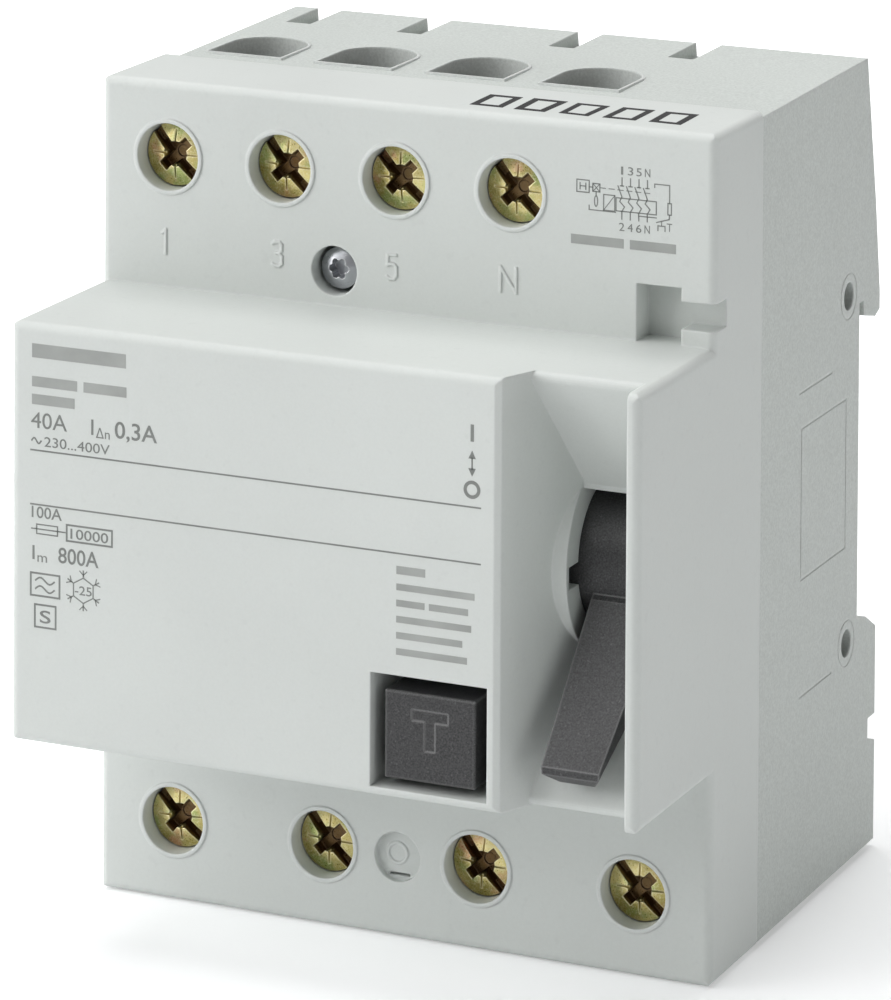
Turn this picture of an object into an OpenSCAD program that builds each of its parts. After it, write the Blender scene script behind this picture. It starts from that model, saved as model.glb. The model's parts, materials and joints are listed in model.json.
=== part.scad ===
// Four-pole residual current device for a 35 mm DIN rail.
// X runs to the right, Y from front to rear, Z up.
// The origin is the centre of the seat face on the rail. Millimetres.

/* [Case] */
// Width of the case, four modules
case_w = 72; // [72:0.5:74]
// Height of the case
case_h = 90; // [89:0.5:92]
// Height of the raised centre cap
cap_h = 45; // [44:0.5:46]
// Depth of the shoulders in front of the rail seat
shoulder_d = 44; // [43.5:0.5:45]
// Depth of the cap in front of the rail seat
cap_d = 64.5; // [64:0.5:66]
// Depth of the joint between front cover and rear housing
seam_d = 30.5; // [30:0.5:31]
// Wall thickness of the mouldings
wall = 1.6; // [1.4:0.1:1.8]
// Radius of the outer edges
edge_r = 0.9; // [0.6:0.1:1.2]

/* [Rail] */
// Height of the rail
rail_h = 35; // [35:0.1:35.3]

/* [Terminals] */
// Pitch of the upper terminals
top_pitch = 13.55; // [13.3:0.05:13.7]
// Pitch of the lower terminals
bottom_pitch = 18.1; // [17.9:0.1:18.2]
// Radius of the terminal screw's shank
screw_r = 2.5; // [2.3:0.1:2.5]
// Radius of the terminal screw's head
head_r = 3.55; // [3.4:0.05:3.6]

/* [Lever] */
// Radius of the lever's drum
drum_r = 7.4; // [7.2:0.1:7.4]
// Running clearance between a shaft and its hole
run = 0.05; // [0.03:0.01:0.08]

/* [Hidden] */
$fn = 48;

case_x = case_w / 2;
case_z = case_h / 2;
cap_z = cap_h / 2;
rail_z = rail_h / 2;

// Terminal places
top_z = 36.75;
bottom_z = -36.2;
top_x = [for (i = [0:3]) -27.95 + i * top_pitch];
bottom_x = [for (i = [0:3]) -27.05 + i * bottom_pitch];
well_r = 3.7;
dome_r = 12;
head_front = -42.4;
head_rear = -40;
screw_end = -27.7;
bar_y = -27.5;
bar_t = 1.5;

// Accessory holes and moulded marks on the right side
accessory_y = -3.65;
accessory_z = [19.35, -19.55];
mark_d = 0.06;

// Lever geometry, in the plane of its swing
lever_y = -47;
lever_z = 1;
recess_x0 = 20.5;
recess_x1 = case_x - 1.4;
recess_slope = 0.42;
brow_y = 59.56;
brow_r = 0.7;
collar_x = 25.1;
collar_r = 10.5;
drum_x0 = 22.9;
drum_x1 = recess_x1 - 0.3;
crank_r = 3;
crank_angle = 240;
axle_r = 1.5;

// Contact rotor
rotor_y = -14;
rotor_z = 14;
rotor_r = 4.4;
rotor_crank_r = 11;
rotor_crank_angle = 190;
closing_angle = 25;

// Test button and its pocket, each from its lower left to its upper right corner
pocket_a = [6.2, -21.5];
pocket_b = [19.35, -9.57];
button_a = [7.5, -20.6];
button_b = [17.75, -11.35];
button_x = (button_a[0] + button_b[0]) / 2;
button_z = (button_a[1] + button_b[1]) / 2;
button_front = -63.8;
button_floor = -54;

// Colours
housing_c = [0.80, 0.82, 0.80];
dark_c = [0.16, 0.16, 0.17];
gold_c = [0.78, 0.68, 0.35];
steel_c = [0.62, 0.63, 0.65];
copper_c = [0.78, 0.45, 0.28];
silver_c = [0.85, 0.85, 0.86];

// ---- Shared shapes ----

// A Y-Z outline pushed along +X
module along_x(x0, x1) {
    translate([x0, 0, 0]) rotate([90, 0, 90]) linear_extrude(x1 - x0) children();
}

// An X-Z outline pushed along +Y
module along_y(y0, y1) {
    translate([0, y1, 0]) rotate([90, 0, 0]) linear_extrude(y1 - y0) children();
}

// An X-Y outline pushed along +Z
module along_z(z0, z1) {
    translate([0, 0, z0]) linear_extrude(z1 - z0) children();
}

// A round bar along +X, +Y or +Z
module rod_x(x0, x1, y, z, r) {
    translate([x0, y, z]) rotate([0, 90, 0]) cylinder(h = x1 - x0, r = r);
}
module rod_y(x, y0, y1, z, r) {
    translate([x, y0, z]) rotate([-90, 0, 0]) cylinder(h = y1 - y0, r = r);
}
module rod_z(x, y, z0, z1, r) {
    translate([x, y, z0]) cylinder(h = z1 - z0, r = r);
}

// A box from corner to corner
module block(a, b) {
    translate(a) cube(b - a);
}

// A rectangle with round corners
module round_rect(a, b, r) {
    translate([a[0] + r, a[1]]) square([b[0] - a[0] - 2 * r, b[1] - a[1]]);
    translate([a[0], a[1] + r]) square([b[0] - a[0], b[1] - a[1] - 2 * r]);
    for (x = [a[0] + r, b[0] - r], y = [a[1] + r, b[1] - r])
        translate([x, y]) circle(r);
}

// A box whose twelve edges are round
module soft_box(a, b, r) {
    intersection() {
        along_x(a[0], b[0]) round_rect([a[1], a[2]], [b[1], b[2]], r);
        along_y(a[1], b[1]) round_rect([a[0], a[2]], [b[0], b[2]], r);
        along_z(a[2], b[2]) round_rect([a[0], a[1]], [b[0], b[1]], r);
    }
}

// A round wire through points, mitred at each bend
function unit(v) = v / norm(v);
function wire_ring(points, sides, r) =
    let (
        d = unit(points[1] - points[0]),
        across = unit(cross(d, abs(d[2]) < 0.9 ? [0, 0, 1] : [1, 0, 0])),
        up = cross(d, across)
    )
    [for (k = [0:sides - 1]) points[0] + r * (cos(360 * k / sides) * across + sin(360 * k / sides) * up)];
// Carries a ring of points along each stretch to the plane that halves the next bend
function wire_rings(points, ring, i) =
    i == len(points) ? ring :
    let (
        d = unit(points[i] - points[i - 1]),
        next = i == len(points) - 1 ? d : unit(points[i + 1] - points[i]),
        n = unit(d + next),
        last = [for (k = [0:wire_sides - 1]) ring[len(ring) - wire_sides + k]],
        moved = [for (v = last) v + d * ((points[i] - v) * n) / (d * n)]
    )
    wire_rings(points, concat(ring, moved), i + 1);
wire_sides = 10;
module bent_wire(points, r) {
    s = wire_sides;
    corners = wire_rings(points, wire_ring(points, s, r), 1);
    tube = [
        for (i = [0:len(points) - 2], k = [0:s - 1])
            let (n = (k + 1) % s)
            [i * s + k, i * s + n, (i + 1) * s + n, (i + 1) * s + k]
    ];
    first = [for (k = [s - 1:-1:0]) k];
    last = [for (k = [0:s - 1]) (len(points) - 1) * s + k];
    polyhedron(corners, concat(tube, [first, last]));
}

// A coil spring along +Z, standing on z = 0
module coil(radius, wire, height, turns) {
    steps = round(turns * 14);
    sides = 6;
    rise = height - 2 * wire;
    ring = function (i) [
        for (k = [0:sides - 1])
            let (phi = 360 * k / sides, theta = 360 * turns * i / steps)
            [
                (radius + wire * cos(phi)) * cos(theta),
                (radius + wire * cos(phi)) * sin(theta),
                wire + rise * i / steps + wire * sin(phi)
            ]
    ];
    points = [for (i = [0:steps]) each ring(i)];
    sides_of_tube = [
        for (i = [0:steps - 1], k = [0:sides - 1])
            let (n = (k + 1) % sides)
            [i * sides + k, i * sides + n, (i + 1) * sides + n, (i + 1) * sides + k]
    ];
    first = [for (k = [sides - 1:-1:0]) k];
    last = [for (k = [0:sides - 1]) steps * sides + k];
    polyhedron(points, concat(sides_of_tube, [first, last]));
}

// A point on the lever's or the rotor's swing, given radius and angle
function swing(y, z, r, a) = [y + r * cos(a), z + r * sin(a)];

// ---- Front cover ----

// Points along an arc in a plane
function arc(centre, r, a0, a1) = [
    for (i = [0:6])
        let (a = a0 + (a1 - a0) * i / 6)
        centre + r * [cos(a), sin(a)]
];

// The lever's recess. Grown by g it is the outside of the recess's own wall.
module lever_recess(g) {
    slant_y = -cap_d + (collar_x - recess_x0) / recess_slope;
    back_y = lever_y + 12;
    ramp_y = -53;
    lip_z = [8.95, -7.1];
    lip = [0.5, 0.85];
    bevel = 0.5;
    n = [0.858 * g, 0.513 * g];
    intersection() {
        along_z(-cap_z - 8, cap_z + 8) polygon([
            [recess_x0 - g - bevel, -cap_d - 6],
            [recess_x1 + g, -cap_d - 6],
            [recess_x1 + g, back_y],
            [collar_x - g, back_y],
            [collar_x - g, slant_y],
            [recess_x0 - g + 0.15, -cap_d + 0.15 / recess_slope],
            [recess_x0 - g - bevel, -cap_d]
        ]);
        along_x(recess_x0 - 8, case_x + 8) union() {
            polygon(concat(
                [[-cap_d - 6, cap_z + 8], [-brow_y + n[0], cap_z + 8]],
                arc([-brow_y + n[0], cap_z - brow_r + n[1]], brow_r, 90, 211),
                [
                    [ramp_y + n[0], lip_z[0] + lip[0] + n[1]],
                    [ramp_y + n[0], lip_z[0] + g],
                    [lever_y, lip_z[0] + g],
                    [lever_y, lip_z[1] - g],
                    [ramp_y + n[0], lip_z[1] - g],
                    [ramp_y + n[0], lip_z[1] - lip[1] - n[1]]
                ],
                arc([-brow_y + n[0], -cap_z + brow_r - n[1]], brow_r, 153, 270),
                [[-brow_y + n[0], -cap_z - 8], [-cap_d - 6, -cap_z - 8]]
            ));
            translate([lever_y, lever_z]) circle(8.1 + g);
        }
    }
}

// The button's pocket. Grown by g it is the outside of the pocket's wall.
module button_pocket(g) {
    block([pocket_a[0] - g, -cap_d - 5, pocket_a[1] - g],
          [pocket_b[0] + g, button_floor + g, pocket_b[1] + g]);
}

// A slot that starts in the shoulder and opens to the right side
module shoulder_pocket(g) {
    block([27.15 - g, -shoulder_d - 1, 22.5 - g], [32.2 + g, -shoulder_d + 3.2 + g, 28.6 + g]);
    block([32 - g, -shoulder_d - 1, 24.25 - g], [case_x + 1, -shoulder_d + 3.2 + g, 27.2 + g]);
}

module cover_outside() {
    intersection() {
        union() {
            soft_box([-case_x, -shoulder_d, -case_z], [case_x, -20, case_z], edge_r);
            soft_box([-case_x, -cap_d, -cap_z], [case_x, -20, cap_z], edge_r);
        }
        block([-case_x - 1, -cap_d - 1, -case_z - 1], [case_x + 1, -seam_d, case_z + 1]);
    }
}

module cover_hollow() {
    difference() {
        union() {
            block([-case_x + wall, -shoulder_d + wall, -case_z + wall],
                  [case_x - wall, -20, case_z - wall]);
            block([-case_x + wall, -cap_d + wall, -cap_z + wall], [case_x - wall, -20, cap_z - wall]);
        }
        for (x = top_x) rod_y(x, -shoulder_d, head_rear + 0.3, top_z, 4.7);
        for (x = bottom_x) rod_y(x, -shoulder_d, head_rear + 0.3, bottom_z, 4.7);
        rod_y(-7.9, -shoulder_d, -seam_d, 26.3, 3.9);
        rod_y(-0.1, -shoulder_d, -40.5, -36.3, 3.6);
        lever_recess(1.4);
        rod_x(drum_x0 - 0.6, case_x, lever_y, lever_z, drum_r + run + 1.6);
        button_pocket(1.2);
        shoulder_pocket(1.2);
    }
}

// Moulded terminal digits, each as straight strokes
module stroke(a, b) {
    d = b - a;
    translate(a) rotate(atan2(d[1], d[0])) translate([-0.15, -0.15]) square([norm(d) + 0.3, 0.3]);
}
module strokes(points) {
    for (i = [0:len(points) - 2]) stroke(points[i], points[i + 1]);
}
module raised_digit(x) {
    translate([x, 0, 27.45]) along_y(-shoulder_d - 0.12, -shoulder_d + 0.3) children();
}

module front_cover() {
    color(housing_c) {
        difference() {
            union() {
                difference() {
                    cover_outside();
                    cover_hollow();
                    lever_recess(0);
                    shoulder_pocket(0);
                    button_pocket(0);
                }
                // Collar round the lever's drum
                rod_x(drum_x0 - 0.6, collar_x, lever_y, lever_z, collar_r);
                // Rims of the terminal screw wells
                for (x = top_x) rod_y(x, -shoulder_d - 0.15, -shoulder_d + 0.5, top_z, 4.15);
                for (x = bottom_x) rod_y(x, -shoulder_d - 0.15, -shoulder_d + 0.5, bottom_z, 4.15);
            }
            // Drum bore, its notch, and the room behind it
            rod_x(drum_x0 - 2, recess_x1 - 0.001, lever_y, lever_z, drum_r + run);
            block([drum_x0, lever_y - drum_r - 2.4, lever_z - 1.8], [collar_x + 1, lever_y, lever_z + 0.6]);
            rod_x(recess_x1 - 1, case_x - 0.6, lever_y, lever_z, axle_r);
            // Terminal screw wells
            for (x = top_x) rod_y(x, -shoulder_d - 1, head_rear + 1, top_z, well_r);
            for (x = bottom_x) rod_y(x, -shoulder_d - 1, head_rear + 1, bottom_z, well_r);
            // Cover screw well and its clearance hole
            rod_y(-7.9, -shoulder_d - 1, -shoulder_d + 5, 26.3, 2.7);
            rod_y(-7.9, -shoulder_d, -20, 26.3, 1.6);
            // Shallow blind well below, with a slit along its foot
            rod_y(-0.1, -shoulder_d - 1, -shoulder_d + 0.8, -36.3, 2.7);
            block([-1.3, -shoulder_d, -38.55], [1.1, -shoulder_d + 1.6, -38.25]);
            // Stem hole of the test button
            rod_y(button_x, button_floor - 1, button_floor + 2, button_z, 1.5 + run);
        }
        // Ring on the floor of the blind well
        difference() {
            rod_y(-0.4, -shoulder_d + 0.7, -shoulder_d + 0.9, -36.1, 1.25);
            rod_y(-0.4, -shoulder_d + 0.6, -shoulder_d + 1, -36.1, 0.95);
        }
        raised_digit(-28.2) strokes([[-0.4, 0.95], [0, 1.3], [0, -1.3]]);
        raised_digit(-14.7) {
            strokes([
                [-0.55, 1.1], [-0.25, 1.3], [0.25, 1.3], [0.5, 1.05], [0.5, 0.4], [0.2, 0.12], [-0.1, 0.1]
            ]);
            strokes([[0.2, 0.1], [0.55, -0.2], [0.55, -1.0], [0.25, -1.3], [-0.25, -1.3], [-0.55, -1.1]]);
        }
        raised_digit(-1.1) strokes([
            [0.5, 1.3], [-0.45, 1.3], [-0.5, 0.15], [-0.1, 0.32], [0.3, 0.26], [0.55, 0], [0.55, -0.95],
            [0.25, -1.3], [-0.25, -1.3], [-0.55, -1.1]
        ]);
        raised_digit(12.5) strokes([[-0.9, -1.3], [-0.9, 1.3], [0.9, -1.3], [0.9, 1.3]]);
    }
}

// ---- Rear housing ----

// Side outline behind the seam: rail hook above, rail foot below
module rear_outline() {
    polygon([
        [-seam_d, -case_z + 0.6], [5.8, -case_z + 0.6], [5.9, -33.1], [3.65, -32.4], [3.65, -30.1],
        [5.9, -30.1], [5.9, -20.1], [2.5, -18.2], [-0.2, -rail_z - 0.15], [-0.2, rail_z + 0.3],
        [1.15, rail_z + 0.3], [1.3, 16.1], [4.9, 15.25], [6.4, 15.8], [6.4, 17.9], [4.9, 28.4],
        [1.9, case_z - 0.1], [-seam_d, case_z - 0.6]
    ]);
}

// A wire entry: straight in front, half round behind
module wire_entry(x, z0, z1, g) {
    along_z(z0, z1) translate([x, 0]) union() {
        translate([-4.5 - g, -25.5 - g]) square([9 + 2 * g, 6 + g]);
        translate([0, -19.5]) circle(4.5 + g);
    }
}

module rear_housing() {
    left = -case_x + 1.2;
    color(housing_c) {
        difference() {
            union() {
                difference() {
                    along_x(left, case_x) rear_outline();
                    // Room inside
                    block([left + wall, -seam_d - 1, -case_z + 0.6 + wall],
                          [case_x - wall, -2, case_z - 0.6 - wall]);
                }
                // Seat pad on the rail
                block([-33, -0.6, -rail_z + 2.5], [34, 0, rail_z - 2.5]);
                // Sleeve of each wire entry
                for (x = top_x) wire_entry(x, case_z - 2.7, case_z - 0.25, 0.35);
                for (x = bottom_x) wire_entry(x, -case_z + 0.45, -case_z + 2.7, 0.35);
                // Partitions between the poles
                for (i = [0:2]) {
                    xt = (top_x[i] + top_x[i + 1]) / 2;
                    xb = (bottom_x[i] + bottom_x[i + 1]) / 2;
                    block([xt - 0.5, -seam_d, 30.5], [xt + 0.5, -1.9, case_z - 1]);
                    block([xb - 0.5, -seam_d, -case_z + 1], [xb + 0.5, -1.9, -30.5]);
                }
                // Bearing walls of the contact rotor
                rotor_bearing(-case_x + 1.4, -case_x + 3.6);
                rotor_bearing(17.6, 19);
                // Post that the cover screw bites into
                rod_y(-7.9, -seam_d, -1.9, 26.3, 2.6);
            }
            for (x = top_x) wire_entry(x, case_z - 3, case_z + 1, 0);
            for (x = bottom_x) wire_entry(x, -case_z - 1, -case_z + 3, 0);
            // Notches along the rear top edge
            for (x = [-32, -18, 0.9, 15.4])
                block([x, -6.6, case_z - 1.7], [x + 3.1, 8, case_z + 1]);
            rod_x(-case_x + 2.2, 21, rotor_y, rotor_z, 1.25 + run);
            rod_y(-7.9, -seam_d - 1, -12, 26.3, 1.25);
            // Channel of the rail slider
            block([-7.1, 1.1, -case_z - 1], [7.1, 8, -rail_z + 0.9]);
            block([-5.1, 0.4, -case_z + 2.4], [5.1, 2, -24]);
            // Holes for side accessories, each inside a fine ring
            for (z = accessory_z) {
                rod_x(case_x - 4, case_x + 1, accessory_y, z, 1.55);
                difference() {
                    rod_x(case_x - mark_d, case_x + 1, accessory_y, z, 2.6);
                    rod_x(case_x - 1, case_x + 2, accessory_y, z, 2.45);
                }
            }
            // Fine moulded frame and two lines on the right side
            difference() {
                block([case_x - mark_d, -18.3, -8.7], [case_x + 1, -4.2, 8.1]);
                block([case_x - 1, -18.1, -8.5], [case_x + 2, -4.4, 7.9]);
            }
            block([case_x - mark_d, -19, 11.9], [case_x + 1, -8.9, 12.15]);
            block([case_x - mark_d, -18.3, -21.6], [case_x + 1, -8.4, -21.35]);
        }
        // Peg that the slider's spring stands on
        block([-1.5, 0, -41], [1.5, 4.4, -40]);
        // Lips that hold the slider in its channel
        for (side = [-1, 1]) {
            x = side * 6.6;
            block([x - 0.9, 5.35, -43], [x + 0.9, 5.8, -34]);
        }
    }
}

module rotor_bearing(x0, x1) {
    block([x0, rotor_y - 3, rotor_z - 3], [x1, -1.9, rotor_z + 3]);
    rod_x(x0, x1, rotor_y, rotor_z, 3);
}

// ---- Rail slider ----

module rail_slider() {
    color(housing_c) difference() {
        along_x(-7, 7) polygon([
            [1.2, -rail_z + 1.1], [1.9, -rail_z + 1.2], [5.1, -20.2], [5.2, -44], [1.2, -44]
        ]);
        block([-2, 0, -41.2], [2, 6, -26]);
        // Slot for a screwdriver
        block([-3, 2.2, -45], [3, 4.2, -42.6]);
    }
}

module rail_slider_spring() {
    color(steel_c) translate([0, 3.1, -39.95]) coil(1.2, 0.25, 13.9, 9);
}

// ---- Fasteners and terminals ----

// A cylinder along +Y from y0 to y1 whose front end is domed
module domed_rod(y0, y1, r, dome) {
    intersection() {
        rod_y(0, y0, y1, 0, r);
        translate([0, y0 + dome, 0]) sphere(dome, $fn = 96);
    }
}

module cover_screw() {
    front = -shoulder_d + 1;
    seat = -shoulder_d + 5;
    color(steel_c) translate([-7.9, 0, 26.3]) difference() {
        union() {
            domed_rod(front, seat, 2.25, 4.5);
            rod_y(0, seat, -14, 0, 1.25);
        }
        // Six-lobe socket
        for (a = [0:60:300]) rod_y(0.8 * cos(a), front - 1, front + 1.7, 0.8 * sin(a), 0.36);
        rod_y(0, front - 1, front + 1.7, 0, 0.88);
    }
}

// One terminal screw, turned by an angle as it was left after tightening
module terminal_screw(x, z, turn) {
    color(gold_c) translate([x, 0, z]) rotate([0, turn, 0]) difference() {
        union() {
            domed_rod(head_front, head_rear, head_r, dome_r);
            rod_y(0, head_rear, screw_end, 0, screw_r);
        }
        // Cross recess
        for (a = [45, -45]) rotate([0, a, 0])
            block([-2.15, head_front - 1, -0.6], [2.15, head_front + 2, 0.6]);
        translate([0, head_front - 0.01, 0]) rotate([-90, 0, 0]) cylinder(h = 2.2, r1 = 1.45, r2 = 0.6);
        // Slot for a flat blade
        rotate([0, 45, 0]) block([-4, head_front - 1, -0.6], [4, head_front + 1.4, 0.6]);
        // Fine radial marks between the arms
        for (a = [0:90:270]) rotate([0, a, 0])
            block([1.3, head_front - 1, -0.09], [2.7, head_front + 0.5, 0.09]);
    }
}
module terminal_screw_1() { terminal_screw(top_x[0], top_z, 1); }
module terminal_screw_3() { terminal_screw(top_x[1], top_z, 3); }
module terminal_screw_5() { terminal_screw(top_x[2], top_z, -2); }
module terminal_screw_n_line() { terminal_screw(top_x[3], top_z, 2); }
module terminal_screw_2() { terminal_screw(bottom_x[0], bottom_z, -3); }
module terminal_screw_4() { terminal_screw(bottom_x[1], bottom_z, 2); }
module terminal_screw_6() { terminal_screw(bottom_x[2], bottom_z, 4); }
module terminal_screw_n_load() { terminal_screw(bottom_x[3], bottom_z, 0); }

// A cage that the screw lifts against the bar, clamping the wire between
module clamp_cage(x, z) {
    color(steel_c) translate([x, 0, z]) difference() {
        block([-4.4, -33, -5], [4.4, -15, 5]);
        block([-3.6, -30.5, -6], [3.6, -16.5, 6]);
        rod_y(0, -34, -30, 0, screw_r + run);
    }
}
module clamp_cage_1() { clamp_cage(top_x[0], top_z); }
module clamp_cage_3() { clamp_cage(top_x[1], top_z); }
module clamp_cage_5() { clamp_cage(top_x[2], top_z); }
module clamp_cage_n_line() { clamp_cage(top_x[3], top_z); }
module clamp_cage_2() { clamp_cage(bottom_x[0], bottom_z); }
module clamp_cage_4() { clamp_cage(bottom_x[1], bottom_z); }
module clamp_cage_6() { clamp_cage(bottom_x[2], bottom_z); }
module clamp_cage_n_load() { clamp_cage(bottom_x[3], bottom_z); }

module line_bars() {
    color(copper_c) for (x = top_x) block([x - 3.3, bar_y, 22.6], [x + 3.3, bar_y + bar_t, 42]);
}

module load_bars() {
    color(copper_c) for (x = bottom_x) block([x - 3.3, bar_y, -42], [x + 3.3, bar_y + bar_t, -26]);
}

// ---- Contacts ----

// Turns what is drawn in the closed position to the open one
module opened() {
    translate([0, rotor_y, rotor_z]) rotate([-closing_angle, 0, 0])
        translate([0, -rotor_y, -rotor_z]) children();
}

module fixed_contact_tips() {
    color(silver_c) for (x = top_x) rod_y(x, bar_y + bar_t, -25.3, 24.5, 1.5);
}

module moving_contact_tips() {
    color(silver_c) opened() for (x = top_x) rod_y(x, -25.25, -24.6, 24.5, 1.4);
}

module moving_contact_arms() {
    color(copper_c) opened() for (x = top_x) along_x(x - 2, x + 2) polygon([
        [-24.6, 26.4], [-23.4, 26.4], [-23.4, 23.4], [-15.5, 16.6], [-15.5, 13.4], [-17.2, 13.4],
        [-24.6, 22.4]
    ]);
}

module contact_rotor() {
    color(dark_c) difference() {
        rod_x(-32.2, 17.4, rotor_y, rotor_z, rotor_r);
        rod_x(-33, 18, rotor_y, rotor_z, 1.25);
        opened() for (x = top_x)
            block([x - 2, -20, 13.4], [x + 2, -15.5, 20]);
    }
}

module rotor_axle() {
    color(steel_c) rod_x(-33.6, 21, rotor_y, rotor_z, 1.25);
}

// A flat bar with round ends between two points of the Y-Z plane
module flat_bar(a, b, w, ra, rb) {
    d = b - a;
    translate(a) rotate(atan2(d[1], d[0])) translate([0, -w / 2]) square([norm(d), w]);
    translate(a) circle(ra);
    translate(b) circle(rb);
}

module rotor_crank() {
    pin = swing(rotor_y, rotor_z, rotor_crank_r, rotor_crank_angle);
    color(steel_c) {
        difference() {
            along_x(19.2, 20.3) flat_bar([rotor_y, rotor_z], pin, 3.4, 3.2, 1.9);
            rod_x(19, 21, rotor_y, rotor_z, 1.25);
        }
        rod_x(20.2, 22.2, pin[0], pin[1], 0.9);
    }
}

// Torsion springs that press the arms on the fixed contacts
module contact_springs() {
    color(steel_c) for (x = top_x)
        translate([x + 2.2, rotor_y, rotor_z]) rotate([0, 90, 0]) coil(rotor_r + 0.5, 0.35, 2.2, 2.5);
}

// Stacks of plates that split and cool the arc
module arc_splitter_plates() {
    color(steel_c) for (x = top_x, i = [0:4]) difference() {
        block([x - 3.3, -13, 20.5 + i * 1.9], [x + 3.3, -4.5, 21.3 + i * 1.9]);
        along_z(20, 30) polygon([[x - 1.6, -14], [x + 1.6, -14], [x, -9]]);
    }
}

// ---- Summation current transformer ----
ring_x = -14;
ring_y = -38;
ring_z0 = -20;
ring_z1 = -8;

module ring(r0, r1, z0, z1) {
    difference() {
        rod_z(ring_x, ring_y, z0, z1, r1);
        rod_z(ring_x, ring_y, z0 - 1, z1 + 1, r0);
    }
}

module transformer_core() {
    color(steel_c) ring(7.5, 11.3, ring_z0 + 2, ring_z1 - 2);
}

module transformer_case() {
    color(dark_c) difference() {
        ring(6.6, 12.2, ring_z0 + 1, ring_z1 - 1);
        ring(7.4, 11.4, ring_z0 + 1.9, ring_z1 - 1.9);
    }
}

module secondary_winding() {
    color(copper_c) for (a = [0:18:342]) translate([ring_x, ring_y, 0]) rotate([0, 0, a]) difference() {
        block([5.9, -0.4, ring_z0 + 0.3], [12.9, 0.4, ring_z1 - 0.3]);
        block([6.5, -1, ring_z0 + 0.95], [12.3, 1, ring_z1 - 0.95]);
    }
}

module primary_conductors() {
    side = [-1, -1, 1, 1];
    depth = [-1, 1, 1, -1];
    color(copper_c) for (i = [0:3]) {
        x = ring_x + 2.2 * side[i];
        y = ring_y + 2.2 * depth[i];
        end_y = bar_y - 0.95;
        bent_wire([
            [top_x[i], -20.5, 8.6], [top_x[i], -24, 3], [x, y, -5], [x, y, -23],
            [bottom_x[i], end_y, -25], [bottom_x[i], end_y, -29.5]
        ], 0.9);
    }
}

// ---- Trip relay and latch ----
relay_y = -45;
plunger_z = -3;
coil_z = 2;
trip_x = 16.2;
trip_y = -36;
latch = [-32, -4];

module relay_case() {
    color(dark_c) difference() {
        union() {
            block([-1, -52, -7], [14.2, -38, 7]);
            block([12, -39.5, -8], [18, -34.2, -6.6]);
            block([12, -39.5, 0.6], [18, -34.2, 2]);
        }
        block([-0.2, -51.2, -6.2], [13.4, -38.8, 6.2]);
        rod_x(13, 15, relay_y, plunger_z, 0.9 + run);
        rod_z(trip_x, trip_y, -9, 3, 0.9);
    }
}

module relay_yoke() {
    color(steel_c) {
        block([0, -49, -5], [1.2, -41, 6]);
        block([0, -49, 5.1], [9.4, -41, 6]);
        rod_x(1, 9.3, relay_y, coil_z, 1);
    }
}

module relay_coil() {
    color(copper_c) difference() {
        rod_x(1.4, 8.8, relay_y, coil_z, 2.8);
        rod_x(1, 9, relay_y, coil_z, 1);
    }
}

module relay_magnet() {
    color(steel_c) block([2, -48, -5.5], [5.5, -42, -1.5]);
}

module relay_plunger() {
    color(silver_c) {
        rod_x(6.5, 15.6, relay_y, plunger_z, 0.9);
        rod_x(9.5, 10.3, relay_y, plunger_z, 2.1);
    }
}

module relay_spring() {
    color(steel_c) translate([10.4, relay_y, plunger_z]) rotate([0, 90, 0]) coil(1.5, 0.2, 2.9, 4);
}

module trip_lever() {
    color(dark_c) difference() {
        union() {
            block([15.7, -47, -5], [16.7, -30, -1]);
            rod_z(trip_x, trip_y, -6.4, 0.4, 1.6);
        }
        rod_z(trip_x, trip_y, -7, 1, 0.9 + run);
    }
}

module trip_lever_pin() {
    color(steel_c) rod_z(trip_x, trip_y, -8, 2, 0.9);
}

module mechanism_plate() {
    color(steel_c) difference() {
        block([18, -38.5, -11], [19, -20, 6]);
        rod_x(17, 20, latch[0], latch[1], 1);
        rod_x(17, 20, -24, -7, 1.6);
    }
}

module latch_pin() {
    color(steel_c) rod_x(18, 20.6, latch[0], latch[1], 1);
}

module latch_pawl() {
    color(steel_c) difference() {
        along_x(19.3, 20.3) {
            flat_bar(latch, [-26.5, 0], 2, 2.3, 1.3);
            flat_bar(latch, [-37.2, -4.6], 1.8, 2.3, 1.2);
        }
        rod_x(19, 21, latch[0], latch[1], 1 + run);
    }
}

// ---- Toggle lever ----

// Cuts away what lies on the far side of the plane through three points
module cut_beyond(a, b, c, size) {
    n = unit(cross(b - a, c - a));
    translate(a) rotate([0, asin(-n[2]), atan2(n[1], n[0])]) block([0, -size, -size], [size, size, size]);
}

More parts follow.
